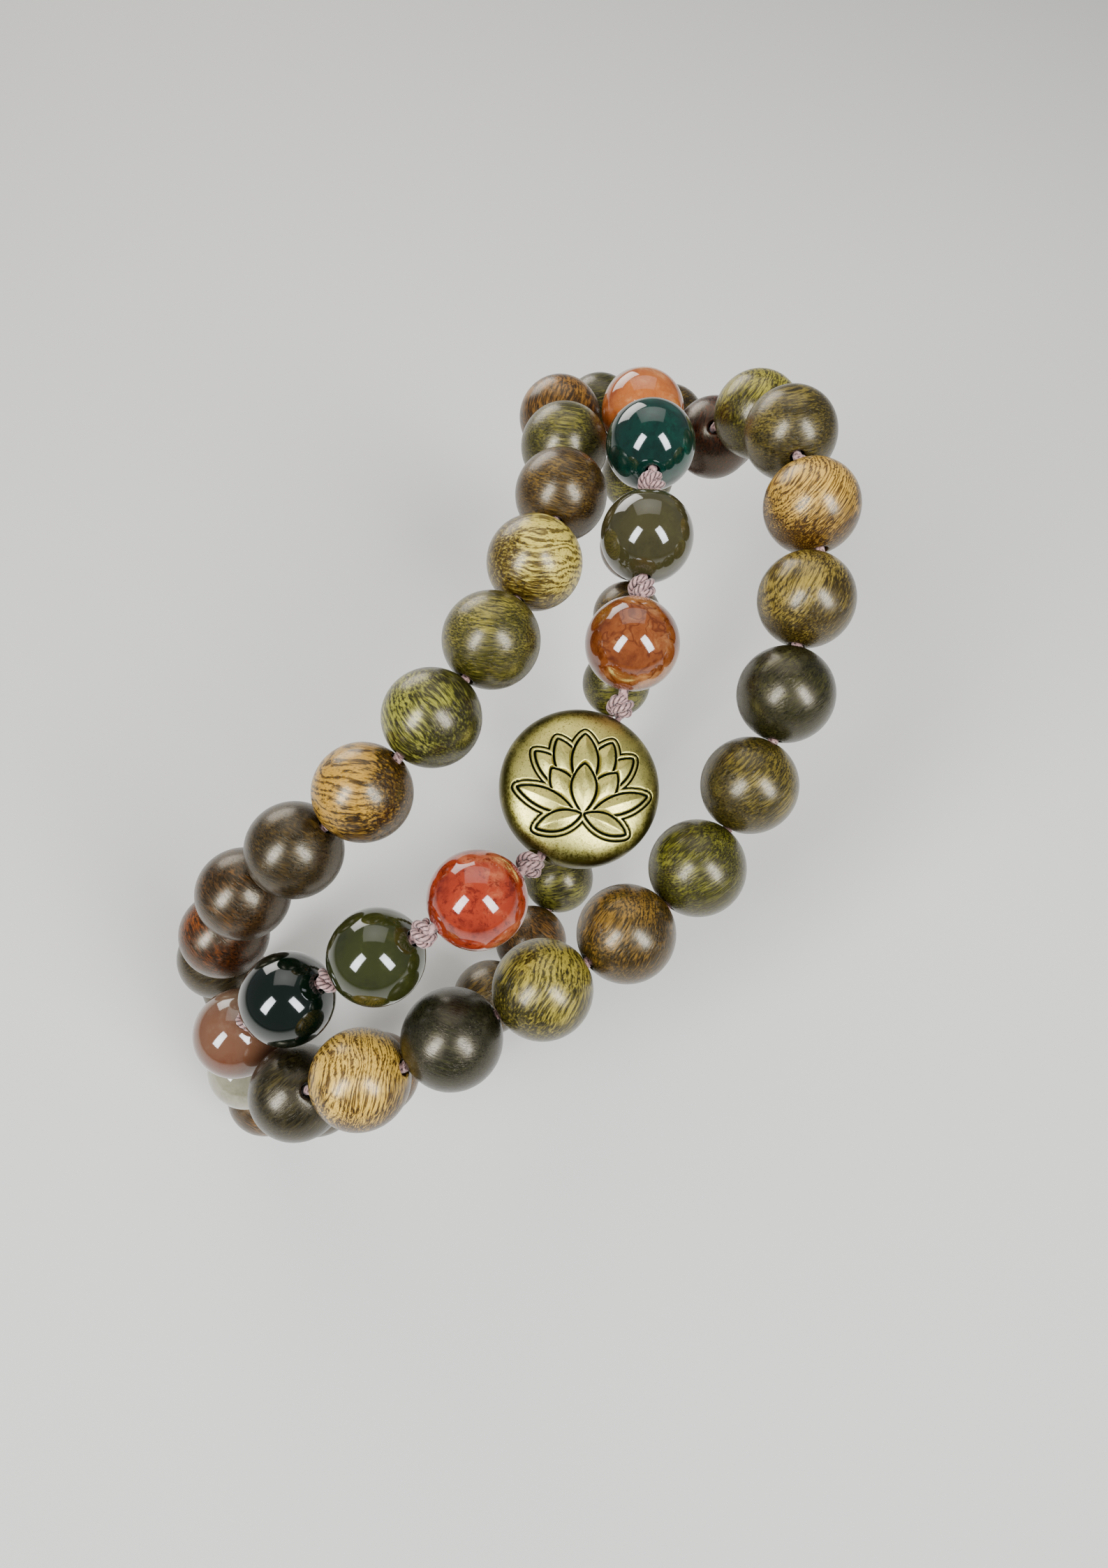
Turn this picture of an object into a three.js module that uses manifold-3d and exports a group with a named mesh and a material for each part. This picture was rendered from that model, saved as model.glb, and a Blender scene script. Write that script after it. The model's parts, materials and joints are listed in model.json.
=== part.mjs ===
// Mala prayer beads: a half mala of 54 drilled beads and one lotus disc, strung on one closed cord.
// Forty-four turned wood beads touch one another; ten polished stones, five on each side of the disc,
// are parted by knots tied in the cord. Millimetres, +Z up. The string lies doubled over a support,
// such as a wrist or a stand, whose crown is at the origin, under the middle of the disc.
import * as THREE from "three";
import { mergeVertices } from "three/addons/utils/BufferGeometryUtils.js";
import Module from "manifold-3d";

// Beads
const WOOD_BEAD = 8; // diameter
const STONE_BEAD = 8; // diameter
const BEAD_PLAY = 0.3; // free length of cord between two wood beads
const WOOD_BEADS = 44;
const STONES_AFTER_DISC = ["coral", "olive", "bottle_green", "mauve", "cream"];
const STONES_BEFORE_DISC = ["tan", "peach", "teal", "olive_brown", "red_brown"];

// Lotus disc, drilled through its diameter
const DISC = 13.5; // diameter
const DISC_THICKNESS = 5.4;
const DISC_FULLNESS = 2.7; // exponent of the puffed outline: 2 is an ellipse, more is squarer
const DISC_FACE = new THREE.Vector3(0, -0.47, 0.88); // the way its face looks

// Cord and knots
const CORD = 0.8; // diameter
const BORE_CLEARANCE = 1; // how much wider than the cord a drill hole is, so that the cord can slant in it
const BORE = CORD + BORE_CLEARANCE;
const KNOT = 2.3; // diameter
const STONE_KNOT_ROOM = 1.75; // between two stones
const DISC_KNOT_ROOM = 2.25; // between the disc and a stone
const KNOT_CLEARANCE = 0.12; // from a knot's end to the piece beside it
const CORD_ENDS_GAP = 0.6; // between the two ends of the cord, which meet inside the disc

// Facets: sides go round a piece, rings along its profile
const BEAD_SIDES = 12;
const BEAD_RINGS = 6;
const DISC_SIDES = 36;
const DISC_RINGS = 12;
const BORE_SIDES = 12;
const CORD_SIDES = 8;
const KNOT_SIDES = 10;
const KNOT_RINGS = 6;

// The closed line on which the pieces are strung, starting at the middle of the disc.
const ROUTE = [
  [0, 0, 6],
  [-8, -10, 6.5],
  [-16.5, -13.5, 2.5],
  [-24.5, -15.5, -2.5],
  [-30.5, -16.5, -10],
  [-32, -17.5, -19.5],
  [-32.5, -18.5, -29],
  [-35.5, -13, -34.5],
  [-38.5, -5.5, -32.5],
  [-38.5, -3, -24.5],
  [-36, -7, -17.5],
  [-29.5, -6, -2.5],
  [-18, -1.5, 7.5],
  [-7.5, 10.5, 12],
  [-1.5, 26, 13],
  [-1.5, 41.5, 8],
  [-1.5, 48, 2.5],
  [3, 53.5, -1.5],
  [11, 53.5, -3],
  [16.5, 48, 0],
  [14.5, 41.5, 5.5],
  [17.5, 37.5, 12],
  [19, 30.5, 16],
  [20, 22.5, 15.5],
  [17.5, 7.5, 9],
  [10, -5.5, 2],
  [-3, -15.5, 0.5],
  [-18, -22, -3],
  [-24, -22, -8],
  [-24.5, -20.5, -16],
  [-14.5, -13.5, -27.5],
  [-5, -1, -31],
  [1, 14.5, -28],
  [5.5, 29, -21.5],
  [7.5, 42, -11.5],
  [7.5, 46, -4.5],
  [7, 46, 5.5],
  [6.5, 38.5, 11.5],
  [6.5, 29.5, 15.5],
  [4.5, 11, 11.5],
].map((point) => new THREE.Vector3(...point));
const ROUTE_SAMPLES = 6000;
const FIT_ROUNDS = 40; // halvings of the search for the line's scale
const SCALE_RANGE = [0.4, 2.5];
const HOLE_ROUNDS = 4; // times that the drill holes are turned towards their neighbours' rims
const RIM_STEP = 0.35; // two rims farther apart sideways than this bend the cord twice
const WELD = 1e-4; // vertices closer than this are one

const wasm = await Module();
wasm.setup();

// A closed geometry as a solid that can be cut and joined.
function toSolid(geometry) {
  const bare = geometry.clone();
  bare.deleteAttribute("normal");
  bare.deleteAttribute("uv");
  const merged = mergeVertices(bare, WELD);
  const vertProperties = new Float32Array(merged.attributes.position.array);
  const triVerts = new Uint32Array(merged.index.array);
  return new wasm.Manifold(new wasm.Mesh({ numProp: 3, vertProperties, triVerts }));
}

// A cut or joined solid as a geometry again.
function toGeometry(solid) {
  const mesh = solid.getMesh();
  const geometry = new THREE.BufferGeometry();
  geometry.setAttribute("position", new THREE.BufferAttribute(mesh.vertProperties, 3));
  geometry.setIndex(new THREE.BufferAttribute(mesh.triVerts, 1));
  geometry.computeVertexNormals();
  return geometry;
}

// The pieces in the order they are strung, from the disc round to the disc again.
const stone = (colour) => ({ name: `stone_bead_${colour}`, kind: colour, size: STONE_BEAD });
const wood = (number) => ({ name: `wood_bead_${number}`, kind: "wood", size: WOOD_BEAD });
const disc = { name: "lotus_disc", kind: "disc", size: DISC };
const strung = [
  disc,
  ...STONES_AFTER_DISC.map(stone),
  ...Array.from({ length: WOOD_BEADS }, (_, i) => wood(String(i + 1).padStart(2, "0"))),
  ...STONES_BEFORE_DISC.map(stone),
];

// The item at a place in a list that closes on itself.
const around = (list, i) => list[(i + list.length) % list.length];

// The free length between a piece and the next: a knot beside every stone, a little play between wood beads.
function roomAfter(i) {
  const pair = [strung[i], around(strung, i + 1)];
  if (pair.includes(disc)) return DISC_KNOT_ROOM;
  return pair.some((piece) => piece.kind !== "wood") ? STONE_KNOT_ROOM : BEAD_PLAY;
}

// From the middle of each piece to the middle of the next.
const pitches = strung.map((piece, i) => (piece.size + around(strung, i + 1).size) / 2 + roomAfter(i));

// Steps along the closed line, each step as long as the pitch between two neighbours. It returns the
// places, and how far round the line the last step came, as a share of the whole line.
const routeCurve = new THREE.CatmullRomCurve3(ROUTE, true, "centripetal");
const routePoints = Array.from({ length: ROUTE_SAMPLES }, (_, i) => routeCurve.getPoint(i / ROUTE_SAMPLES));
function walk(scale) {
  const places = [routePoints[0].clone().multiplyScalar(scale)];
  let at = 0;
  for (const pitch of pitches) {
    const from = places.at(-1);
    let reach = 0;
    let before = 0;
    while (reach < pitch) {
      before = reach;
      at += 1;
      reach = routePoints[at % ROUTE_SAMPLES].clone().multiplyScalar(scale).distanceTo(from);
    }
    const part = (pitch - before) / (reach - before);
    const low = routePoints[(at - 1) % ROUTE_SAMPLES];
    places.push(low.clone().lerp(routePoints[at % ROUTE_SAMPLES], part).multiplyScalar(scale));
    at -= 1 - part > 0.5 ? 1 : 0;
  }
  return { places, turns: at / ROUTE_SAMPLES };
}

// The line keeps its shape and takes the size at which the last step meets the first place.
function fitRoute() {
  let [small, large] = SCALE_RANGE;
  for (let i = 0; i < FIT_ROUNDS; i++) {
    const middle = (small + large) / 2;
    if (walk(middle).turns > 1) small = middle;
    else large = middle;
  }
  return large;
}
const routeScale = fitRoute();
const places = walk(routeScale).places.slice(0, strung.length);

// Each drill hole is turned, in a few rounds, to point from the rim of the piece before to the rim of
// the piece after, so that the rims of neighbours face each other as nearly as they can.
const holes = places.map((_, i) => around(places, i + 1).clone().sub(around(places, i - 1)).normalize());
function rim(i, side) {
  const reach = (side * around(strung, i).size) / 2;
  return around(places, i).clone().addScaledVector(around(holes, i), reach);
}
for (let round = 0; round < HOLE_ROUNDS; round++) {
  holes.forEach((hole, i) => hole.copy(rim(i + 1, -1).sub(rim(i - 1, 1)).normalize()));
}

// The cord runs straight through each piece and bends in the room between two pieces: once, midway,
// or at each of the two rims where these stand apart sideways.
const rooms = places.map((_, i) => {
  const out = rim(i, 1);
  const into = rim(i + 1, -1);
  const middle = out.clone().add(into).multiplyScalar(0.5);
  const direction = holes[i].clone().add(around(holes, i + 1)).normalize();
  const sideways = into.clone().sub(out).projectOnPlane(direction).length();
  return { out, into, middle, direction, sideways };
});
const corners = rooms.flatMap((room) => (room.sideways > RIM_STEP ? [room.out, room.into] : [room.middle]));

// A bead: an arc from one rim of the drill hole to the other, closed by the wall of the hole.
function beadGeometry(diameter) {
  const radius = diameter / 2;
  const edge = Math.asin(BORE / diameter);
  const profile = [];
  for (let i = 0; i <= BEAD_RINGS; i++) {
    const angle = edge + ((Math.PI - 2 * edge) * i) / BEAD_RINGS;
    profile.push(new THREE.Vector2(radius * Math.sin(angle), -radius * Math.cos(angle)));
  }
  profile.push(profile[0].clone());
  return new THREE.LatheGeometry(profile, BEAD_SIDES);
}

// The disc: a puffed outline turned about its face's axis, with the drill hole cut along X.
function discGeometry() {
  const profile = [];
  for (let i = 0; i <= DISC_RINGS; i++) {
    const angle = -Math.PI / 2 + (Math.PI * i) / DISC_RINGS;
    const out = Math.max(Math.cos(angle), 0) ** (2 / DISC_FULLNESS);
    const up = Math.sign(angle) * Math.abs(Math.sin(angle)) ** (2 / DISC_FULLNESS);
    profile.push(new THREE.Vector2((i % DISC_RINGS ? out : 0) * (DISC / 2), up * (DISC_THICKNESS / 2)));
  }
  const body = toSolid(new THREE.LatheGeometry(profile, DISC_SIDES));
  const drill = new THREE.CylinderGeometry(BORE / 2, BORE / 2, DISC + BORE, BORE_SIDES);
  drill.rotateZ(Math.PI / 2);
  return toGeometry(body.subtract(toSolid(drill)));
}

// A path through given corners, one step to each, for the extruded cord.
class CornerPath extends THREE.Curve {
  constructor(points) {
    super();
    this.points = points;
  }
  getPointAt(u) {
    return this.points[Math.round(u * (this.points.length - 1))].clone();
  }
  getTangentAt(u) {
    const i = Math.round(u * (this.points.length - 1));
    const before = this.points[Math.max(i - 1, 0)];
    const here = this.points[i];
    const after = this.points[Math.min(i + 1, this.points.length - 1)];
    const inward = here.clone().sub(before).normalize();
    const onward = after.clone().sub(here).normalize();
    return inward.add(onward).normalize();
  }
}

// The turn that lays the Y axis of a turned piece along a direction.
function alongY(direction) {
  return new THREE.Quaternion().setFromUnitVectors(new THREE.Vector3(0, 1, 0), direction);
}

// A knot: a small ball drawn out along the cord, as long as its room allows.
function knotSolid(room, middle, direction) {
  const half = room / 2 - KNOT_CLEARANCE;
  const profile = [];
  for (let i = 0; i <= KNOT_RINGS; i++) {
    const angle = (Math.PI * i) / KNOT_RINGS;
    const out = i % KNOT_RINGS ? (KNOT / 2) * Math.sin(angle) : 0;
    profile.push(new THREE.Vector2(out, -half * Math.cos(angle)));
  }
  const geometry = new THREE.LatheGeometry(profile, KNOT_SIDES);
  geometry.applyQuaternion(alongY(direction));
  geometry.translate(middle.x, middle.y, middle.z);
  return toSolid(geometry);
}

// The cord with its knots: one body, whose two ends meet inside the disc.
function cordGeometry() {
  const half = CORD_ENDS_GAP / 2;
  const start = places[0].clone().addScaledVector(holes[0], half);
  const end = places[0].clone().addScaledVector(holes[0], -half);
  const path = new CornerPath([start, ...corners, end]);
  const section = new THREE.Shape();
  section.absarc(0, 0, CORD / 2, 0, 2 * Math.PI);
  const settings = { steps: path.points.length - 1, curveSegments: CORD_SIDES / 2, extrudePath: path };
  let solid = toSolid(new THREE.ExtrudeGeometry(section, settings));
  rooms.forEach(({ middle, direction }, i) => {
    if (roomAfter(i) !== BEAD_PLAY) solid = solid.add(knotSolid(roomAfter(i), middle, direction));
  });
  return toGeometry(solid);
}

// Finishes: one for each stone, the disc and the cord, and four browns taken in turn by the wood beads.
const finish = (color, roughness, metalness = 0) => ({ color, roughness, metalness });
const WOOD_FINISHES = [
  finish(0x3b2f18, 0.42),
  finish(0x4a3a1a, 0.42),
  finish(0x2c2313, 0.45),
  finish(0x6b5426, 0.4),
];
const FINISHES = {
  coral: finish(0xa8341c, 0.12),
  olive: finish(0x3f3d1a, 0.12),
  bottle_green: finish(0x0d1a12, 0.08),
  mauve: finish(0x8a6350, 0.12),
  cream: finish(0xa39a84, 0.15),
  tan: finish(0x8f7a63, 0.15),
  peach: finish(0xc07f58, 0.14),
  teal: finish(0x0d4a4d, 0.1),
  olive_brown: finish(0x54492c, 0.1),
  red_brown: finish(0x8f4427, 0.12),
  disc: finish(0x8a7a33, 0.38, 0.9),
  cord: finish(0x7d5a54, 0.8),
};

// A named piece in its finish; wood beads take theirs from their place on the cord.
function pieceMesh(name, geometry, kind, index) {
  const look = FINISHES[kind] ?? WOOD_FINISHES[index % WOOD_FINISHES.length];
  const mesh = new THREE.Mesh(geometry, new THREE.MeshStandardMaterial(look));
  mesh.name = name;
  return mesh;
}

// Every piece in its place, with its drill hole along the cord and the disc's face turned its own way.
const mala = new THREE.Group();
strung.forEach((piece, i) => {
  const geometry = piece === disc ? discGeometry() : beadGeometry(piece.size);
  const mesh = pieceMesh(piece.name, geometry, piece.kind, i);
  mesh.position.copy(places[i]);
  if (piece === disc) {
    const across = new THREE.Vector3().crossVectors(holes[i], DISC_FACE).normalize();
    const face = new THREE.Vector3().crossVectors(across, holes[i]);
    mesh.quaternion.setFromRotationMatrix(new THREE.Matrix4().makeBasis(holes[i], face, across));
  } else {
    mesh.quaternion.copy(alongY(holes[i]));
  }
  mala.add(mesh);
});
mala.add(pieceMesh("cord", cordGeometry(), "cord", 0));

export default mala;
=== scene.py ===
# %% [markdown]
# # Mala prayer beads
#
# A string of turned wood beads and polished stones, with an engraved lotus disc, lies doubled as if over
# a wrist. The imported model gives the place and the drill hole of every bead. Each bead could be a stock
# sphere with a picture wrapped round it, but pictures blur and pinch when the camera comes close. So each
# bead gets its shape from a formula and its look from shader nodes: dark oiled wood with gold streaks,
# glassy stones, old brass, and a twisted thread with knots.

import json
from math import pi, radians

import bmesh
import bpy
import numpy as np
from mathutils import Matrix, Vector


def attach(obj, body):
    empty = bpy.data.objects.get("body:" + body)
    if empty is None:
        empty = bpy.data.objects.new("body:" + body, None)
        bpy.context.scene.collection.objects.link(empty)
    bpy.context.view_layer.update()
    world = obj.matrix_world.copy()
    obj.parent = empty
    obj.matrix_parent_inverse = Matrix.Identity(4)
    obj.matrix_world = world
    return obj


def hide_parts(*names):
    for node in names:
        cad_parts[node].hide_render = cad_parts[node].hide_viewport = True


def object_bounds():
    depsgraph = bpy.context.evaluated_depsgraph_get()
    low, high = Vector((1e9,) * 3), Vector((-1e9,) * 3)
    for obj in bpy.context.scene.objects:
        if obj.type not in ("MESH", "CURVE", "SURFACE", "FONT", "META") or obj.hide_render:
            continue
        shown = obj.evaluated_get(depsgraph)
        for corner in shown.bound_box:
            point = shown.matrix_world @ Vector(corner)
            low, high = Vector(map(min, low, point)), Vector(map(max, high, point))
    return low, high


MM = 0.001
TURN = 2 * pi
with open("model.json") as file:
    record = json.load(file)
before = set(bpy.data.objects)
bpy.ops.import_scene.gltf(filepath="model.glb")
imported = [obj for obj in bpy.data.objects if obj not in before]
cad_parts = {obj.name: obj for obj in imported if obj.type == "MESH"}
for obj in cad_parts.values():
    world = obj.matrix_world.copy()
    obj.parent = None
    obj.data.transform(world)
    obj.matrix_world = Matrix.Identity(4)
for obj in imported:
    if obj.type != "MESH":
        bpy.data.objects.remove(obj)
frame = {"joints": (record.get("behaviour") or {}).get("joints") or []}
cad_box = [list(corner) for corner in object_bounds()]
scene = bpy.context.scene
print("CAD box", np.round(cad_box, 4).tolist())

# %% [markdown]
# ## Camera
#
# The camera looks down at the string from close by, with a short lens, so near beads look clearly larger
# than far ones. A long lens from far away could frame the same string, but it would make all beads alike
# in size. The three view directions are kept, because some patterns are laid so that they face the
# camera.

# %% Camera
camera_data = bpy.data.cameras.new("camera")
camera_data.sensor_fit = "VERTICAL"
camera_data.sensor_height = 36
camera_data.lens = 22.45
camera_data.clip_start = 5 * MM
camera = bpy.data.objects.new("camera", camera_data)
camera.location = (-0.00212, -0.03816, 0.07856)
camera.rotation_euler = (radians(28), 0, 0)
scene.collection.objects.link(camera)
scene.camera = camera
VIEW_RIGHT = np.array([1.0, 0, 0])
VIEW_UP = np.array([0, 0.883, 0.469])
VIEW_BACK = np.array([0, -0.469, 0.883])
VIEW_AXES = np.stack([VIEW_RIGHT, VIEW_UP, VIEW_BACK], 1)
print("camera at", np.round(camera.location, 4).tolist())

# %% [markdown]
# ## The string
#
# The joints list the pieces in the order in which they are strung. Each joint's point is the middle of a
# piece, and its axis is the piece's drill hole. The places could be typed in again here, but read from
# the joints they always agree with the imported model. The wood beads are made a little larger than the
# packed ones, so that neighbours nearly touch, as beads on a tight cord do.

# %% The string
DISC_RADIUS = 6.75  # in millimetres, as are all the disc's sizes
BEAD_RADIUS = 4 * MM
BEAD_SWELL = 0.14 * MM
BORE_RADIUS = 0.65 * MM
strung = [joint["child"] for joint in frame["joints"]]
centres = np.array([joint["pos_m"] for joint in frame["joints"]])
holes = np.array([joint["axis"] for joint in frame["joints"]])
radii = np.where(np.array(strung) == "lotus_disc", DISC_RADIUS * MM, BEAD_RADIUS)
rims_out = centres + holes * radii[:, None]
rims_in = centres - holes * radii[:, None]
print(len(strung), "pieces on the cord")

# %% [markdown]
# ## Surfaces from arrays
#
# Every surface is a grid of points: an array whose first index runs round the piece and whose second runs
# along its outline. The same shapes could be modelled by hand or with modifiers. A formula is exact, one
# number changes it, and numpy works out all the points at once. The mesh can carry fields, which are
# numbers stored on its vertices that a material reads by name.


# %% Surfaces
def unit(vectors):
    """Vectors scaled to length one, along the last axis."""
    vectors = np.asarray(vectors, float)
    return vectors / np.linalg.norm(vectors, axis=-1, keepdims=True)


def smooth(low, high, values):
    """A smooth rise from 0 at low to 1 at high."""
    share = np.clip((values - low) / (high - low), 0, 1)
    return share * share * (3 - 2 * share)


def grid_piece(name, points, wrap=(True, True)):
    """A smooth mesh over an m by n grid of points in metres, closed on itself along u, along v, or both."""
    m, n = points.shape[:2]
    u, v = np.meshgrid(np.arange(m - (not wrap[0])), np.arange(n - (not wrap[1])), indexing="ij")
    steps = np.array([[0, 0], [1, 0], [1, 1], [0, 1]])
    at_u = u.reshape(-1, 1) + steps[:, 0]
    at_v = v.reshape(-1, 1) + steps[:, 1]
    faces = (at_u % m) * n + at_v % n
    flat = points.reshape(-1, 3)
    a, b, c, d = (flat[faces[:, i]] - flat.mean(0) for i in range(4))
    outward = (np.einsum("ij,ij->i", a, np.cross(b, c)) + np.einsum("ij,ij->i", a, np.cross(c, d))).sum() > 0
    order = np.arange(4) if outward else np.arange(3, -1, -1)
    mesh = bpy.data.meshes.new(name)
    mesh.from_pydata(flat.tolist(), [], faces[:, order].tolist())
    layer = mesh.uv_layers.new(name="UVMap")
    corners = np.stack([at_u[:, order] / (m - (not wrap[0])), at_v[:, order] / (n - (not wrap[1]))], -1)
    layer.uv.foreach_set("vector", corners.astype(np.float32).ravel())
    mesh.polygons.foreach_set("use_smooth", np.ones(len(faces), bool))
    piece = bpy.data.objects.new(name, mesh)
    scene.collection.objects.link(piece)
    return piece


def add_field(piece, name, values):
    """Stores a number or a vector for each vertex, which a material reads by its name."""
    values = np.asarray(values, np.float32)
    vector = values.ndim == 2
    field = piece.data.attributes.new(name, "FLOAT_VECTOR" if vector else "FLOAT", "POINT")
    field.data.foreach_set("vector" if vector else "value", values.ravel())


def finish_piece(piece, body, material, slot, *replaced):
    """Gives a piece its material, ties it to its body and hides the CAD nodes that it stands for."""
    piece.data.materials.append(material)
    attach(piece, body)
    if replaced:
        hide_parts(*replaced)


# %% [markdown]
# ## A small language for materials
#
# A material is a net of nodes, and it could be wired by hand in the shader editor. Written as arithmetic
# it stays short and can be read as a formula. Each operator places a Math node, and any other node comes
# from one method that takes its kind, its inputs and its settings.


# %% Shader values
class Value:
    """A node output, or a number, that takes part in arithmetic."""

    def __init__(self, shader, socket):
        self.shader, self.socket = shader, socket

    def math(self, operation, *others):
        """The result of a Math node on this value and the others."""
        return self.shader.node("Math", dict(enumerate([self, *others])), operation=operation)

    def __add__(self, other):
        return self.math("ADD", other)

    def __mul__(self, other):
        return self.math("MULTIPLY", other)

    def __sub__(self, other):
        return self.math("SUBTRACT", other)

    def __rsub__(self, other):
        return (self * -1.0) + other

    __radd__ = __add__

    def rise(self, low, high):
        """A smooth rise from 0 where this value is low to 1 where it is high."""
        inputs = {"Value": self, "From Min": low, "From Max": high}
        return self.shader.node("MapRange", inputs, interpolation_type="SMOOTHSTEP")


class Shader:
    """A material in the making, around its Principled surface."""

    def __init__(self, name, **constants):
        self.material = bpy.data.materials.new(name)
        self.material.use_nodes = True
        self.tree = self.material.node_tree
        self.surface = self.tree.nodes["Principled BSDF"]
        self.set(**{key.replace("_", " "): value for key, value in constants.items()})

    def feed(self, socket, value):
        """Links a value to a socket, or sets the socket to a constant."""
        if isinstance(value, Value):
            self.tree.links.new(value.socket, socket)
        else:
            socket.default_value = value

    def set(self, **inputs):
        """Sets or links inputs of the surface."""
        for key, value in inputs.items():
            self.feed(self.surface.inputs[key], value)

    def node(self, kind, inputs, output=0, **settings):
        """Adds a node, gives it settings and inputs, and returns one of its outputs."""
        made = self.tree.nodes.new("ShaderNode" + kind)
        for key, value in settings.items():
            setattr(made, key, value)
        for key, value in inputs.items():
            self.feed(made.inputs[key], value)
        return Value(self, made.outputs[output])

    def field(self, name, output="Vector"):
        """A field stored on the mesh."""
        return self.node("Attribute", {}, output, attribute_name=name)

    def mix(self, low, high, share):
        """The colour that goes from low to high as share goes from 0 to 1."""
        return self.node("Mix", {0: share, 6: low, 7: high}, 2, data_type="RGBA")

    def scaled(self, vector, by):
        """A vector multiplied by another, part by part."""
        return self.node("VectorMath", {0: vector, 1: by}, operation="MULTIPLY")

    def noise(self, vector, scale=1.0, detail=2.0, roughness=0.5, output="Fac"):
        """Cloudy noise, mostly from 0.3 to 0.7."""
        inputs = {"Vector": vector, "Scale": scale, "Detail": detail, "Roughness": roughness}
        return self.node("TexNoise", inputs, output)

    def warped(self, vector, scale, amount):
        """The vector pushed about by slow noise."""
        push = self.noise(vector, scale, detail=1.0, output="Color")
        centred = self.node("VectorMath", {0: push, 1: (0.5, 0.5, 0.5)}, operation="SUBTRACT")
        shift = self.scaled(centred, (amount,) * 3)
        return self.node("VectorMath", {0: vector, 1: shift}, operation="ADD")

    def bump(self, height, distance):
        """Raises the surface by height times distance, in metres."""
        self.set(Normal=self.node("Bump", {"Height": height, "Distance": distance, "Strength": 1.0}))


def rgb(text):
    """A colour written as six hex digits, as linear red, green, blue and alpha."""
    shares = np.array([int(text[i : i + 2], 16) for i in (0, 2, 4)]) / 255
    linear = np.where(shares <= 0.04045, shares / 12.92, ((shares + 0.055) / 1.055) ** 2.4)
    return (*linear.tolist(), 1.0)


# %% [markdown]
# ## Wood
#
# The beads are turned from a dense dark wood and oiled. The lathe cuts across the growth lines, which
# show as wavy gold streaks, and the pores show as dark dashes along the fibres. A picture of wood could
# be wrapped round the ball, but it would pinch at the holes. So the grain is solid: noise in the bead's
# own space, drawn out along the fibres, that the surface cuts through as a lathe does.
#
# One material serves all the wood beads. Each bead carries its own fields: grain, which is the place
# inside the bead in millimetres with the third part along the fibres, ground and streak, its two colours,
# and gold, which says where the streaks are strong.

# %% The wood material
LAYER_SCALE = (0.9, 0.5, 0.13)  # slow growth layers for each millimetre, slowest along the fibres
FIBRE_SCALE = (5.4, 5.4, 0.55)
PORE_SCALE = (13.0, 13.0, 2.6)
LINE_PITCH = 11.0  # radians of the growth-line wave for each millimetre across the grain
LINE_SWAY = 22.0  # radians by which the layers push the lines about
WOOD_RELIEF = 0.014 * MM


def wood_material():
    """Wavy growth lines across the ball, fine fibres and dark pores along them, and an oiled surface."""
    wood = Shader("oiled_wood")
    plain = wood.field("grain")
    grain = wood.warped(plain, scale=0.25, amount=1.3)
    layers = wood.noise(wood.scaled(grain, LAYER_SCALE))
    fibres = wood.noise(wood.scaled(grain, FIBRE_SCALE), detail=4.0, roughness=0.6)
    pores = wood.noise(wood.scaled(grain, PORE_SCALE), roughness=0.6)
    cloud = wood.noise(plain, scale=0.4, detail=3.0, roughness=0.55)
    across = wood.node("SeparateXYZ", {0: grain}, 0)
    wave = (across * LINE_PITCH + layers * LINE_SWAY).math("SINE") * 0.5 + 0.5
    lines = (wave + (fibres - 0.5) * 3.0).rise(0.05, 0.7)
    ground, streak = wood.field("ground"), wood.field("streak")
    shade = wood.scaled(ground, (0.25, 0.25, 0.25))
    colour = wood.mix(shade, ground, (fibres * 0.6 + pores * 0.4).rise(0.38, 0.6))
    colour = wood.mix(colour, streak, fibres.rise(0.48, 0.7) * 0.4)
    glow = (wood.field("gold", "Fac") + (cloud - 0.5) * 1.9 + (fibres - 0.5) * 1.8).rise(0.2, 1.0)
    colour = wood.mix(colour, wood.mix(ground, streak, 0.2), glow * 0.4)
    colour = wood.mix(colour, streak, lines * glow)
    pits = 1.0 - pores.rise(0.34, 0.46)
    colour = wood.mix(colour, rgb("070502"), pits * 0.75)
    wood.set(**{"Base Color": colour, "Roughness": 0.2 + fibres * 0.18, "Specular IOR Level": 0.6})
    wood.set(**{"Coat Weight": 0.15, "Coat Roughness": 0.15, "Specular Tint": (1.0, 0.86, 0.62, 1.0)})
    wood.bump(fibres + wave * 0.2 - pits * 0.4, WOOD_RELIEF)
    return wood.material


# %% [markdown]
# ## Beads
#
# A bead is a ball with a drill hole, and its rims are worn soft by the cord. A sphere less a cylinder, by
# a boolean, would give a sharp rim and an untidy mesh. So the bead is made as a lathe would: one outline
# runs down the outside, round the lower rim, up the wall of the hole and round the upper rim, and is
# turned about the hole.

# %% Bead shape
WOOD_RIM = 0.25 * MM
STONE_RIM = 0.12 * MM
OUTSIDE_POINTS = 45
RIM_POINTS = 7
WALL_POINTS = 7


def bead_outline(radius, bore, rim):
    """Distance from the axis and height along it, for one closed trip round a drilled ball.

    The outside is the sine and cosine of an angle times the radius. Each rim is a quadratic curve from there
    to the wall, pulled towards the corner where the ball and the hole would meet."""
    edge = np.arcsin((bore + rim) / radius)
    angle = np.linspace(edge, pi - edge, OUTSIDE_POINTS)
    outside = np.stack([radius * np.sin(angle), radius * np.cos(angle)], 1)
    wall = radius * np.cos(edge) - rim
    share = np.linspace(0, 1, RIM_POINTS)[1:, None]
    corner = np.array([bore, -np.sqrt(radius**2 - bore**2)])
    foot = np.array([bore, -wall])
    turn = (1 - share) ** 2 * outside[-1] + 2 * share * (1 - share) * corner + share**2 * foot
    inside = np.stack([np.full(WALL_POINTS, bore), np.linspace(-wall, wall, WALL_POINTS + 2)[1:-1]], 1)
    return np.concatenate([outside, turn, inside, turn[::-1] * (1, -1)])


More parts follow.
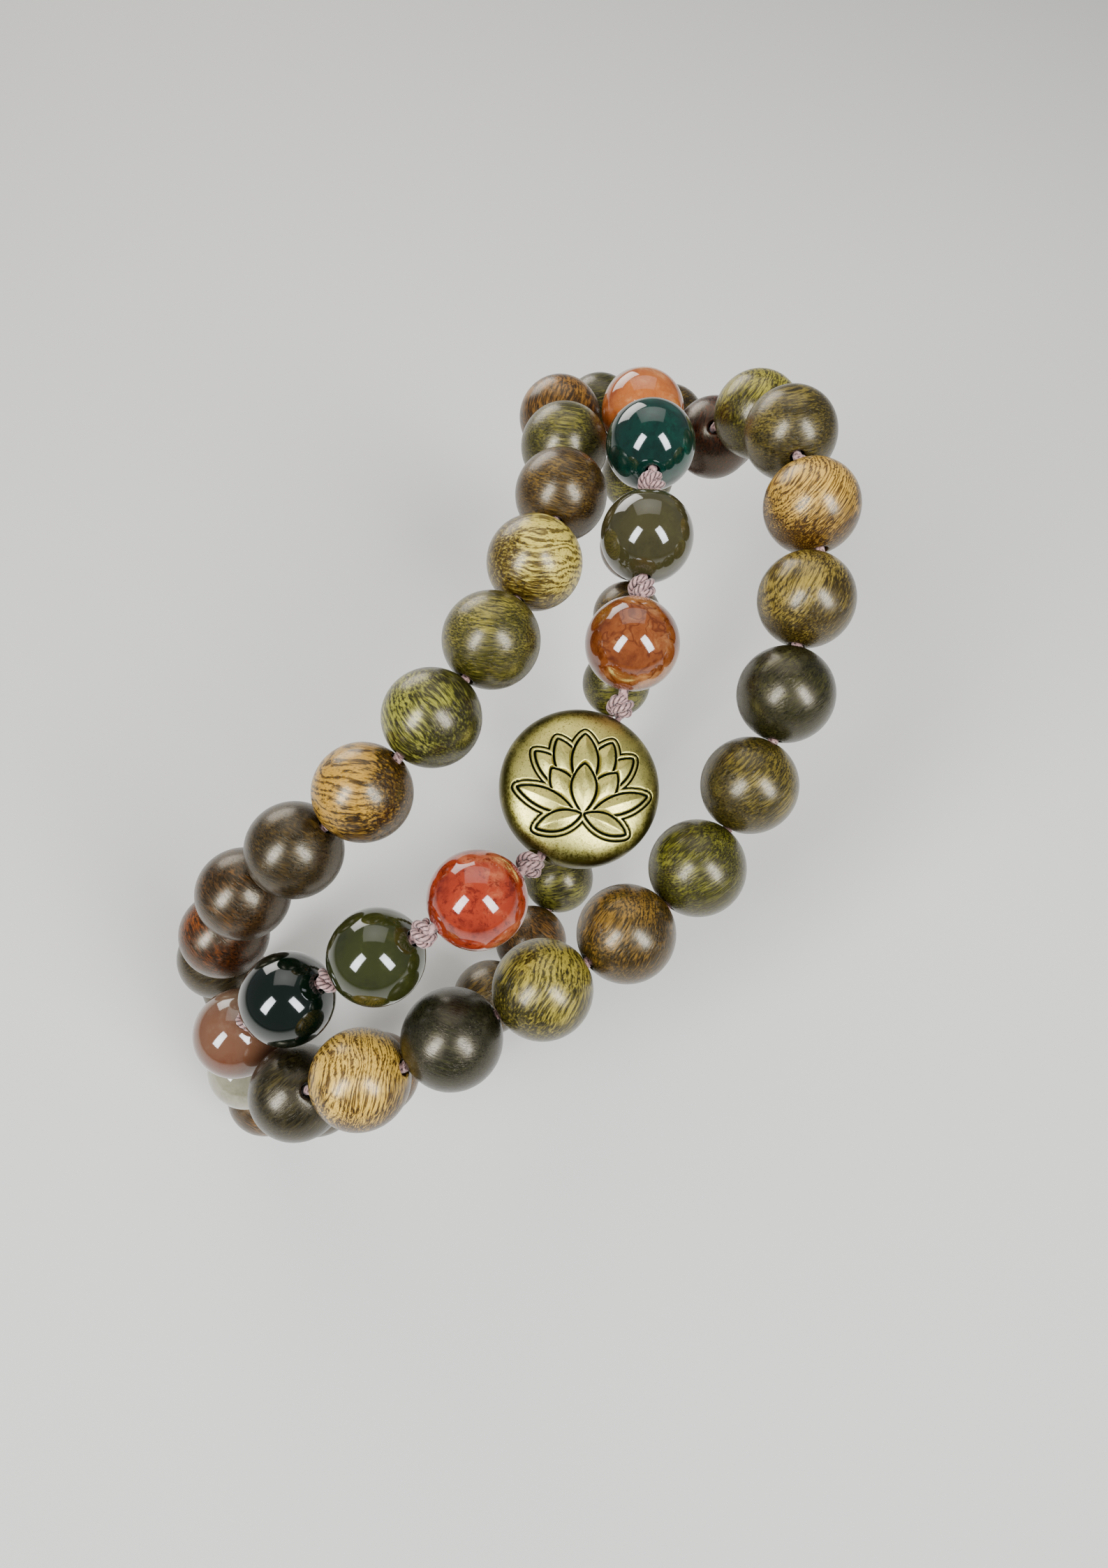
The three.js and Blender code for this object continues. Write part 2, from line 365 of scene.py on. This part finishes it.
def side_axes(axis, toward):
    """Two directions square to an axis, the first as near as it can be to a wanted one."""
    first = unit(toward - axis * (axis @ toward))
    return first, np.cross(axis, first)


def bead_points(centre, axis, outline, sides=72):
    """The outline turned about the axis through the centre, as a grid round by outline.

    Each point is the centre, plus its distance times a direction that goes round, plus its height along the
    axis."""
    first, second = side_axes(axis, VIEW_RIGHT + 0.1)
    angle = np.arange(sides)[:, None, None] * TURN / sides
    out = np.cos(angle) * first + np.sin(angle) * second
    return centre + outline[:, :1] * out + outline[:, 1:] * axis


WOOD_OUTLINE = bead_outline(BEAD_RADIUS + BEAD_SWELL, BORE_RADIUS, WOOD_RIM)
STONE_OUTLINE = bead_outline(BEAD_RADIUS, BORE_RADIUS, STONE_RIM)
print("outline:", len(WOOD_OUTLINE), "points")

# %% [markdown]
# ## Looks of the wood beads
#
# No two wood beads are alike: some are nearly black, and some are half gold. Looks could be drawn at
# random, but then a strong bead could land anywhere. So the beads that are in view have a row each,
# numbered along the cord, and the others take one of three plain looks. A row has a ground and a streak
# colour, the way its streaks run as seen by the camera in degrees, how strong the gold is, towards which
# side it gathers, right and up, and how fine it is.

# %% Looks of the wood beads
WOOD = {
    # number: ground, streak, slant, strength of the gold, its side, how fine
    5: ("2c2008", "64501c", 20, 0.2, (0, 1), 1.4),
    6: ("3c1c06", "8e460f", -50, 0.3, (-1, 1), 1.4),
    7: ("301e08", "6e461a", -40, 0.2, (0, 1), 1.4),
    8: ("2a1e08", "60481a", -30, 0.2, (0, 1), 1.4),
    9: ("3f2707", "c09030", -8, 1.1, (-0.9, 0.5), 0.9),
    10: ("2f2e0a", "9a9638", -50, 0.75, (-1, 0.5), 1.1),
    11: ("44400f", "948634", -10, 0.55, (-0.3, 1), 1.5),
    12: ("5a4410", "dcc458", -6, 1.1, (0.8, 0.3), 0.95),
    13: ("3f2a0a", "80601e", -15, 0.4, (-0.3, 0.6), 1.6),
    14: ("3c380f", "867c2c", -5, 0.5, (0, 1), 1.5),
    15: ("432808", "9c6a26", 75, 0.7, (0, 1), 0.9),
    16: ("36240a", "74501e", 30, 0.5, (0, 1), 1.2),
    20: ("361505", "74300f", 80, 0.4, (0, 0.4), 1.2),
    21: ("413a0c", "a09430", 60, 0.8, (0, 1), 1.5),
    22: ("3a300d", "7e6c28", 10, 0.5, (-0.6, 0.4), 1.6),
    23: ("4c2c08", "deac44", 55, 1.0, (-0.2, 0.6), 2.1),
    24: ("3d2f0b", "a48a38", 60, 0.75, (-0.5, 0.8), 1.7),
    25: ("202008", "48451a", 40, 0.2, (0, 1), 1.6),
    26: ("39300c", "7e6c26", 45, 0.5, (0.5, 0.3), 1.6),
    27: ("36340a", "7e7a22", 35, 0.5, (0, 1), 1.6),
    28: ("3b2a0b", "906a24", 62, 0.6, (-0.2, 1), 1.4),
    29: ("363009", "aa9838", 62, 0.8, (0.4, 1), 1.2),
    30: ("191a0c", "38391a", -20, 0.2, (0, 1), 1.6),
    31: ("482806", "ecbc4c", 78, 1.05, (0, 0.5), 1.7),
    32: ("1f1a08", "4a401c", 40, 0.3, (0, 1), 1.4),
}
HIDDEN_WOOD = [
    ("2e210a", "74591f", 30, 0.5, (0, 1), 1.3),
    ("3b2408", "8a5c22", -40, 0.5, (1, 0), 1.5),
    ("32300c", "807a2a", 10, 0.6, (0, -1), 1.1),
]
OILED = 0.7  # how much light is left in the colours once the wood is oiled
GRAIN_LEAN = 0.45  # how far the growth layers lean towards the camera
GOLD_FRONT = 0.8  # how far the gold side of every bead is turned towards the camera
GRAIN_STEP = np.array([7.3, 3.1, 5.7])  # millimetres of solid grain from one bead's place to the next


def add_wood_fields(piece, points, centre, number):
    """Lays the grain through a bead, and stores its colours and where its gold gathers."""
    plain = HIDDEN_WOOD[number % len(HIDDEN_WOOD)]
    ground, streak, slant, strength, side, fine = WOOD.get(number, plain)
    fibre = np.cos(radians(slant)) * VIEW_RIGHT + np.sin(radians(slant)) * VIEW_UP
    across, third = side_axes(fibre, np.cross(VIEW_BACK, fibre) + GRAIN_LEAN * VIEW_BACK)
    place = (points.reshape(-1, 3) - centre) / MM
    grain = place @ np.stack([fine * across, third, fibre], 1) + GRAIN_STEP * number
    toward = unit(side[0] * VIEW_RIGHT + side[1] * VIEW_UP + GOLD_FRONT * VIEW_BACK)
    count = len(place)
    add_field(piece, "grain", grain)
    add_field(piece, "gold", strength * smooth(-0.2, 1.0, unit(place) @ toward))
    add_field(piece, "ground", np.tile(rgb(ground)[:3], (count, 1)) * OILED)
    add_field(piece, "streak", np.tile(rgb(streak)[:3], (count, 1)) * OILED)


wood_look = wood_material()
for name, centre, axis in zip(strung, centres, holes):
    if name.startswith("wood_bead_"):
        points = bead_points(centre, axis, WOOD_OUTLINE)
        bead = grid_piece(name + "_turned", points)
        add_wood_fields(bead, points, centre, int(name[-2:]))
        finish_piece(bead, name, wood_look, "wood", name)
print("wood bead:", len(bead.data.vertices), "vertices and", len(wood_look.node_tree.nodes), "nodes")

# %% [markdown]
# ## Stones
#
# The stones are balls of agate, jasper and the like, ground smooth and polished like glass. They let in
# so little light that it needn't be followed through them, which would be slow. So each stone is an
# opaque material of its own: three colours that mingle in large and small clouds, dark specks or cracks
# where the stone has them, and a polish under a thin clear coat.

# %% Stones
STONE_RELIEF = 0.002 * MM


def stone_material(name, deep, body, light, cloud=0.28, contrast=1.0, spots=0.0, cracks=0.0, turn=0.0):
    """Clouds of three colours in a polished ball, with dark specks, and dark cracks where the clouds fold.

    Cloud is how many clouds there are in a millimetre, contrast how sharply the colours part, and turn how
    much painted light lifts the colour towards the stone's top as the camera sees it."""
    stone = Shader("stone_" + name)
    plain = stone.field("place")
    place = stone.warped(plain, scale=0.35, amount=1.8)
    large = stone.noise(place, scale=cloud, detail=3.0)
    small = stone.noise(place, scale=cloud * 6, detail=5.0, roughness=0.7)
    height = stone.node("SeparateXYZ", {0: plain}, 1)
    # Painted light: turn lifts the colour towards the top of the stone as the camera sees it.
    mixed = large + (small - 0.5) * 0.4 + height * (turn * 0.05)
    half = 0.12 / contrast
    colour = stone.mix(rgb(deep), rgb(body), mixed.rise(0.5 - 2 * half, 0.5))
    colour = stone.mix(colour, rgb(light), mixed.rise(0.5, 0.5 + 2 * half))
    if spots:
        specks = stone.noise(place, scale=1.4, detail=6.0, roughness=0.75).rise(0.5, 0.64)
        colour = stone.mix(colour, rgb(deep), specks * spots)
    if cracks:
        folded = stone.warped(place, scale=0.6, amount=1.6)
        fold = (stone.noise(folded, scale=0.3, detail=3.0, roughness=0.6) - 0.5).math("ABSOLUTE")
        colour = stone.mix(colour, rgb(deep), (1.0 - fold.rise(0.0, 0.03)) * cracks)
    stone.set(**{"Base Color": colour, "Roughness": 0.03 + small * 0.08, "IOR": 1.6, "Coat Weight": 0.3})
    stone.bump(small, STONE_RELIEF)
    return stone.material


STONES = {
    "coral": dict(deep="500e06", body="842a14", light="ae5c3c", cloud=0.26, contrast=0.9, spots=0.8),
    "olive": dict(deep="121407", body="25280d", light="3e401a", contrast=0.6),
    "bottle_green": dict(deep="010402", body="010a05", light="05160b", contrast=0.6),
    # the mauve is painted lighter towards its top
    "mauve": dict(deep="50240e", body="5c3c2a", light="745e4c", cloud=0.2, contrast=0.6, turn=1.0),
    "cream": dict(deep="5e5a42", body="85806a", light="aaa693", contrast=0.7),
    "tan": dict(deep="4c3e2c", body="6b5a42", light="8a795e", contrast=0.7),
    "peach": dict(deep="6e2e10", body="985222", light="c48a56", cloud=0.2, cracks=0.2),
    "teal": dict(deep="010f0b", body="02241c", light="084234", contrast=0.8, spots=0.5),
    "olive_brown": dict(deep="1c190c", body="332f19", light="4f4b2c", contrast=0.6),
    "red_brown": dict(deep="441806", body="6e3816", light="a87444", cloud=0.2, spots=0.3, cracks=0.7),
}
for name, centre, axis in zip(strung, centres, holes):
    if name.startswith("stone_bead_"):
        kind = name.removeprefix("stone_bead_")
        points = bead_points(centre, axis, STONE_OUTLINE)
        bead = grid_piece(name + "_polished", points)
        place = (points.reshape(-1, 3) - centre) / MM
        add_field(bead, "place", place @ VIEW_AXES)
        finish_piece(bead, name, stone_material(kind, **STONES[kind]), "stone_" + kind, name)
print(len(STONES), "stones")

# %% [markdown]
# ## The lotus on the disc
#
# The disc is a piece of old brass with a lotus cut into its face. The lotus could be a picture used as a
# bump, but its lines would not catch the light from the side. So it is real relief: petals laid over one
# another from back to front, each with a groove round it and a crowned middle, and one more groove round
# them all. A petal is a closed outline, and the signed distance to that outline gives its groove and its
# crown.

# %% Petals
def petal(root, tip, width, fullness=1.0, steps=48):
    """A closed petal outline in millimetres, which swells and closes along the line from root to tip.

    Its half-width is half the width times the sine of half a turn, to the power 0.75. A fullness over one
    moves the widest place towards the tip."""
    share = np.linspace(0, 1, steps)
    root, tip = np.array(root, float), np.array(tip, float)
    half = width / 2 * np.sin(pi * share**fullness) ** 0.75
    side = np.array([-(tip - root)[1], (tip - root)[0]]) / np.linalg.norm(tip - root)
    spine = root + share[:, None] * (tip - root)
    return np.concatenate([spine + half[:, None] * side, (spine - half[:, None] * side)[-2:0:-1]])


def signed_distance(points, outline):
    """Distance from each point to a closed outline, negative inside it."""
    start, end = outline, np.roll(outline, -1, 0)
    edge = end - start
    reach = points[:, None] - start
    share = np.clip((reach * edge).sum(-1) / (edge * edge).sum(-1), 0, 1)
    far = np.linalg.norm(reach - share[..., None] * edge, axis=-1).min(1)
    rising = (start[:, 1] <= points[:, None, 1]) != (end[:, 1] <= points[:, None, 1])
    crossing = start[:, 0] + reach[..., 1] * edge[:, 0] / np.where(edge[:, 1] == 0, 1e-9, edge[:, 1])
    inside = (rising & (points[:, None, 0] < crossing)).sum(1) % 2 == 1
    return np.where(inside, -far, far)


PETALS = [
    # from back to front: outer, upper and middle petals, then the inner three, then the two low pairs
    *[petal((0.1 * side, -1.5), (4.1 * side, 2.3), 1.9, 1.25) for side in (-1, 1)],
    *[petal((0.1 * side, -1.5), (2.3 * side, 3.5), 2.1, 1.25) for side in (-1, 1)],
    petal((0, -1.5), (0, 4.1), 2.2, 1.25),
    *[petal((0.3 * side, -2.5), (2.7 * side, 0.9), 2.0, 1.1) for side in (-1, 1)],
    petal((0, -2.7), (0, 1.5), 2.1, 1.1),
    *[petal((0.7 * side, -2.6), (5.4 * side, -0.7), 1.6) for side in (-1, 1)],
    *[petal((0.1 * side, -2.7), (3.7 * side, -4.0), 1.6) for side in (-1, 1)],
]
PETAL_CROWN = 0.18
GROOVE_DEPTH = 0.24
OUTER_LINE = 0.4  # how far outside the petals the last groove runs
FAR_OFF = 9.0  # farther from a petal than any point of the face


def engraving(points):
    """Height in millimetres and share of groove at each point, with the petals drawn from back to front."""
    height, groove = np.zeros(len(points)), np.zeros(len(points))
    nearest = np.full(len(points), FAR_OFF)
    for outline in PETALS:
        distance = signed_distance(points, outline)
        cover = 1 - smooth(0.1, 0.26, distance)
        line = 1 - smooth(0.04, 0.13, np.abs(distance))
        crown = PETAL_CROWN * smooth(0.05, 0.9, -distance)
        height = height * (1 - cover) + crown * cover
        groove = np.maximum(groove * (1 - cover), line)
        nearest = np.minimum(nearest, distance)
    rim = 1 - smooth(0.03, 0.1, np.abs(nearest - OUTER_LINE))
    groove = np.maximum(groove, rim)
    return height - GROOVE_DEPTH * groove, groove


print(len(PETALS), "petals")

# %% [markdown]
# ## The disc
#
# The disc is puffed like a small cushion and drilled through its diameter. A squashed sphere would be too
# pointed at the rim, and a cylinder with a bevel too flat. So its profile is a superellipse: a fullness
# of two would give an ellipse, and a higher one gives a fuller shoulder. The rings of the grid are close
# together where the lotus is, and the vertices that meet at the two poles are joined, so that the middle
# shades evenly.

# %% Disc
DISC_HALF = 2.7  # half its thickness
FULLNESS = 2.7
DISC_TILT = -4.5  # degrees by which the lotus leans from upright
DIMPLE_DEPTH = 2.2  # how far the two mouths of its drill hole are sunk
MOUTH_INNER = 0.75  # a mouth has its full depth nearer than this to the hole's axis
MOUTH_OUTER = 1.05  # and none farther than this
FACE_LEVEL = 0.3  # the face is what lies above this share of the half thickness
WELD_DISTANCE = 1e-7
FACE_TOWARD = np.array([0, -0.47, 0.88])


def disc_points(round_steps=400, top_steps=180, under_steps=46):
    """The puffed round as a grid round by profile, from the middle of the face over the rim to the back.

    The radius is the sine of an angle that runs from 0 to half a turn. Radius and height, each as a share of
    the disc's own and to the power of the fullness, add up to one."""
    top = np.linspace(0, pi / 2, top_steps, endpoint=False)
    angle = np.concatenate([top, np.linspace(pi / 2, pi, under_steps)])
    out = np.sin(angle).clip(0, 1)
    high = np.sign(np.cos(angle)) * (1 - out**FULLNESS) ** (1 / FULLNESS)
    turn = np.arange(round_steps)[:, None] * TURN / round_steps
    along, across = np.cos(turn) * out * DISC_RADIUS, np.sin(turn) * out * DISC_RADIUS
    return np.stack([along, across, np.broadcast_to(high * DISC_HALF, along.shape)], -1)


def weld(piece):
    """Joins the vertices that lie on one another at a pole."""
    welded = bmesh.new()
    welded.from_mesh(piece.data)
    bmesh.ops.remove_doubles(welded, verts=welded.verts, dist=WELD_DISTANCE)
    welded.to_mesh(piece.data)
    welded.free()


index = strung.index("lotus_disc")
hole = holes[index]
face = unit(FACE_TOWARD - hole * (hole @ FACE_TOWARD))
side = np.cross(face, hole)
local = disc_points()
flat = local.reshape(-1, 3)
upright = unit(VIEW_UP - face * (face @ VIEW_UP))
rightward = np.cross(upright, face)
tilt = radians(DISC_TILT)
upright, rightward = (
    np.cos(tilt) * upright - np.sin(tilt) * rightward,
    np.cos(tilt) * rightward + np.sin(tilt) * upright,
)
world_axes = np.stack([hole, side, face])
world = flat @ world_axes
motif = np.stack([world @ rightward, world @ upright], 1)
on_face = flat[:, 2] > FACE_LEVEL * DISC_HALF
height, groove = np.zeros(len(flat)), np.zeros(len(flat))
height[on_face], groove[on_face] = engraving(motif[on_face])
ring = np.hypot(flat[:, 1], flat[:, 2])
dimple = (1 - smooth(MOUTH_INNER, MOUTH_OUTER, ring)) * smooth(3, 5, np.abs(flat[:, 0]))
flat[:, 2] += height
flat[:, 0] -= np.sign(flat[:, 0]) * dimple * DIMPLE_DEPTH
placed = (centres[index] + MM * (flat @ world_axes)).reshape(local.shape)
disc = grid_piece("lotus_disc_engraved", placed, (True, False))
add_field(disc, "place", flat)
add_field(disc, "groove", groove)
# Painted light and shade: the face is painted brightest in its middle, less so near the rim, and the rim and
# back darker.
outer = smooth(5.6, 6.7, np.hypot(flat[:, 0], flat[:, 1]))
add_field(disc, "wear", smooth(0.2, 1.0, flat[:, 2] / DISC_HALF) * (1 - 0.4 * outer))
weld(disc)
print("disc:", len(disc.data.vertices), "vertices")

# %% [markdown]
# ## Old brass
#
# Brass carried against the skin keeps dark dirt in its grooves. The dirt could be found from the curvature
# when rendering, but the grooves are known from the engraving. The disc is also painted bright gold on its
# face and dull olive towards its rim and on its back, which is painted light and shade. So the disc carries
# two fields, one for the grooves and one for this painted light, and noise mottles the edge of the painted
# light.

# %% Old brass
BRASS_RELIEF = 0.02 * MM


def brass_material():
    """Olive gold, granular, with painted light on the face and painted shade towards the rim and back,
    rougher and near black in the grooves.
    """
    brass = Shader("old_brass", Metallic=1.0)
    place = brass.field("place")
    speckle = brass.noise(place, scale=5.0, detail=5.0, roughness=0.75)
    cloud = brass.noise(place, scale=0.5, detail=3.0, roughness=0.6)
    # Painted light and shade: bright gold on the face, dull olive on the rim and back, mottled by noise.
    lit_and_mottled = (brass.field("wear", "Fac") + (cloud - 0.5) * 1.2 + (speckle - 0.5) * 2.0).rise(0.1, 1.0)
    colour = brass.mix(rgb("544e1a"), rgb("dace74"), lit_and_mottled)
    colour = brass.mix(colour, rgb("2c2c10"), speckle.rise(0.53, 0.66) * 0.8)
    ink = brass.field("groove", "Fac").rise(0.1, 0.6)
    colour = brass.mix(colour, rgb("08100a"), ink)
    brass.set(**{"Base Color": colour, "Roughness": 0.24 + speckle * 0.2 + ink * 0.3})
    brass.bump(speckle, BRASS_RELIEF)
    return brass.material


finish_piece(disc, "lotus_disc", brass_material(), "brass", "lotus_disc")
print("old brass:", len(disc.data.materials[0].node_tree.nodes), "nodes")

# %% [markdown]
# ## Thread
#
# The cord is a closed loop of three twisted plies. It runs straight through each bead and bends between
# them. It could be a plain tube with a bump for the plies, but the plies show on its edge. So its section
# has three bulges and turns as it goes along.
#
# A smooth curve through its points shows one weakness of the rule used here: where a very short span
# comes between two long ones, the curve overshoots. In the narrowest gaps the thread doubles back on
# itself by a fraction of a millimetre, between the rims of the beads.

# %% Thread
THREAD_RADIUS = 0.42 * MM
THREAD_TURNS = 210  # twists in one trip round
THREAD_SAMPLES = 8  # places on the curve for each point that it goes through
PLY_DEPTH = 0.14  # how much thinner the thread is between its plies, as a share
THREAD_RELIEF = 0.05 * MM


def closed_curve(points, steps):
    """A smooth closed curve through the points, by the Catmull-Rom rule, with some samples for each point.

    At each point the curve heads along the line between its two neighbours."""
    share = (np.arange(steps) / steps)[None, :, None]
    before, here, after, beyond = (np.roll(points, k, 0)[:, None] for k in (1, 0, -1, -2))
    cubed = 3 * (here - after) + beyond - before
    squared = 2 * before - 5 * here + 4 * after - beyond
    curve = here + 0.5 * share * (after - before + share * (squared + share * cubed))
    return curve.reshape(-1, 3)


def ply_tube(name, path, normals, radius, turns, plies=3, sides=18):
    """A tube round a closed path whose section has a bulge for each ply and turns as it goes along.

    Its radius follows the size of a cosine that rises once for each ply on the way round."""
    tangents = unit(np.roll(path, -1, 0) - np.roll(path, 1, 0))
    first = unit(normals - tangents * (normals * tangents).sum(-1, keepdims=True))
    second = np.cross(tangents, first)
    angle = np.arange(sides) * TURN / sides
    twist = np.arange(len(path))[:, None] * TURN * turns / len(path)
    ply = np.abs(np.cos(plies / 2 * (angle + twist)))
    bulge = radius * (1 - PLY_DEPTH + PLY_DEPTH * ply)
    points = path[:, None] + bulge[..., None] * (
        np.cos(angle)[:, None] * first[:, None] + np.sin(angle)[:, None] * second[:, None]
    )
    tube = grid_piece(name, points)
    along = np.linalg.norm(np.roll(path, -1, 0) - path, axis=1).cumsum() / MM
    add_field(tube, "ply", ply.ravel())
    add_field(tube, "run", np.repeat(along, sides))
    add_field(tube, "round", np.tile(angle / TURN, len(path)))
    return tube


def thread_material():
    """Dusty mauve, with painted shade between the plies and a painted highlight on the crown of each ply, and
    fine fibres along the twist.
    """
    thread = Shader("mauve_thread", Roughness=0.75)
    run, around = thread.field("run", "Fac"), thread.field("round", "Fac")
    lay = thread.node("CombineXYZ", {0: run * 2.0 + around * 3.0, 1: around * 9.0 - run * 1.5, 2: run * 0.4})
    fibres = thread.noise(lay, scale=2.4, detail=3.0, roughness=0.7)
    crown = thread.field("ply", "Fac")
    # Painted shade: the thread goes dark between its plies, broken up by the fibres.
    colour = thread.mix(rgb("2a1512"), rgb("a37b76"), (crown + (fibres - 0.5) * 0.8).rise(0.15, 0.85))
    # Painted highlight: pale streaks on the crown of each ply, where the fibres rise.
    colour = thread.mix(colour, rgb("e6c8c2"), fibres.rise(0.52, 0.7) * crown * 0.8)
    thread.set(**{"Base Color": colour, "Sheen Weight": 0.3})
    thread.bump(fibres * 0.5 + crown * 0.5, THREAD_RELIEF)
    return thread.material


def carried_normals(path, start):
    """A direction carried along a closed path so that it turns as little as it can."""
    tangents = unit(np.roll(path, -1, 0) - np.roll(path, 1, 0))
    normals = [unit(start - tangents[0] * (start @ tangents[0]))]
    for tangent in tangents[1:]:
        last = normals[-1]
        normals.append(unit(last - tangent * (last @ tangent)))
    return np.array(normals)


thread_look = thread_material()
stops = np.stack([rims_in, centres, rims_out], 1).reshape(-1, 3)
path = closed_curve(stops, THREAD_SAMPLES)
thread = ply_tube("cord_twisted", path, carried_normals(path, VIEW_BACK), THREAD_RADIUS, THREAD_TURNS)
finish_piece(thread, "cord", thread_look, "thread", "cord")
steps = np.roll(path, -1, 0) - path
print("thread:", round(float(np.linalg.norm(steps, axis=1).sum()), 3), "m round, as the curve runs")

# %% [markdown]
# ## Knots
#
# Beside every stone and the disc the cord is tied in a small round knot, which keeps the stones from
# knocking together. A real knot could be traced strand by strand, but at this size only its woven look is
# seen. So each knot is a closed loop of the same thread on a small ring: it goes three times round the
# cord while it goes four times up and down.

# %% Knots
KNOT_THREAD_RADIUS = 0.3 * MM
KNOT_TURNS = 14
KNOT_WINDS = 3
KNOT_WAVES = 4


def knot_path(middle, direction, toward, steps=260, waist=0.62, swell=0.3, half_length=0.56):
    """A loop on a ring round the cord, and the direction that faces away from the ring's core at each place.

    The distance from the cord is the waist plus the swell times a cosine of the waves. The height along it is
    the half-length times their sine. Both are in millimetres."""
    first, second = side_axes(direction, toward)
    angle = np.arange(steps) * TURN / steps
    wave = KNOT_WAVES * angle
    wind = KNOT_WINDS * angle
    out = waist + swell * np.cos(wave)
    ring = np.cos(wind)[:, None] * first + np.sin(wind)[:, None] * second
    rise = half_length * np.sin(wave)[:, None] * direction
    path = middle + MM * (out[:, None] * ring + rise)
    outward = np.cos(wave)[:, None] * ring + np.sin(wave)[:, None] * direction
    return path, outward


knots = 0
for i, name in enumerate(strung):
    after = (i + 1) % len(strung)
    if name.startswith("wood") and strung[after].startswith("wood"):
        continue
    knots += 1
    middle = (rims_out[i] + rims_in[after]) / 2
    direction = unit(holes[i] + holes[after])
    toward = VIEW_BACK + (0.3 * knots % 1) * VIEW_RIGHT
    path, outward = knot_path(middle, direction, toward)
    knot = ply_tube(f"knot_{knots:02}", path, outward, KNOT_THREAD_RADIUS, KNOT_TURNS)
    finish_piece(knot, "cord", thread_look, "thread")
print(knots, "knots")

# %% [markdown]
# ## Floor
#
# The floor is a wide plain sheet just below the lowest bead. It catches the shadows and gives the
# polished stones something pale to mirror. It is a stage and not part of the object.

# %% Floor
FLOOR_REACH = 1.5
FLOOR_GAP = 0.2 * MM


def plain_material(name, colour, roughness):
    """A plain surface for the floor."""
    plain = Shader(name, Roughness=roughness)
    plain.set(**{"Base Color": rgb(colour)})
    return plain.material


ends = (-FLOOR_REACH, FLOOR_REACH)
floor_points = np.array([[(x, y, 0) for y in ends] for x in ends], float)
floor_points[..., 2] = cad_box[0][2] - FLOOR_GAP
floor = grid_piece("floor", floor_points, (False, False))
floor.data.materials.append(plain_material("pale_floor", "c6c3bd", 0.8))
print("floor at", round(float(floor_points[0, 0, 2]), 4))

# %% [markdown]
# ## Light
#
# Polished balls mirror whatever lights them, so the lights are shaped like what would be there. Two tall
# window panes behind the camera give the paired highlights on the beads, a broad soft panel overhead
# gives the pale arc above them, and a panel behind the string keeps its far side from going dark. One
# lamp or an even sky would be simpler, but would give a dot or no highlight at all.

# %% Light
LIGHT_SPREAD = radians(100)
AIM = (0, 0.01, 0)
PANE_SIDE = 0.23  # how far each pane stands from the middle
SKY_STRENGTH = 0.45


def area_light(name, place, width, height, power, colour):
    """A rectangular soft light that looks at the string and that the camera doesn't see."""
    data = bpy.data.lights.new(name, "AREA")
    data.shape = "RECTANGLE"
    data.size = width
    data.size_y = height
    data.energy = power
    data.color = colour
    data.spread = LIGHT_SPREAD
    light = bpy.data.objects.new(name, data)
    light.location = place
    light.rotation_euler = (Vector(AIM) - Vector(place)).to_track_quat("-Z", "Y").to_euler()
    light.visible_camera = False
    scene.collection.objects.link(light)


for side, label in ((-1, "left"), (1, "right")):
    place = (PANE_SIDE * side, -0.2, 0.3)
    area_light("pane_" + label, place, width=0.12, height=0.3, power=1.0, colour=(0.92, 0.96, 1))
area_light("overhead", (0, 0.26, 0.36), width=0.4, height=0.34, power=0.2, colour=(1, 0.98, 0.94))
area_light("behind", (-0.25, 0.5, 0.16), width=0.4, height=0.3, power=0.8, colour=(1, 0.97, 0.92))
world = bpy.data.worlds.new("studio")
scene.world = world
world.use_nodes = True
sky = world.node_tree.nodes["Background"].inputs
sky["Color"].default_value = (0.5, 0.52, 0.55, 1)
sky["Strength"].default_value = SKY_STRENGTH
print(len(bpy.data.lights), "lights")
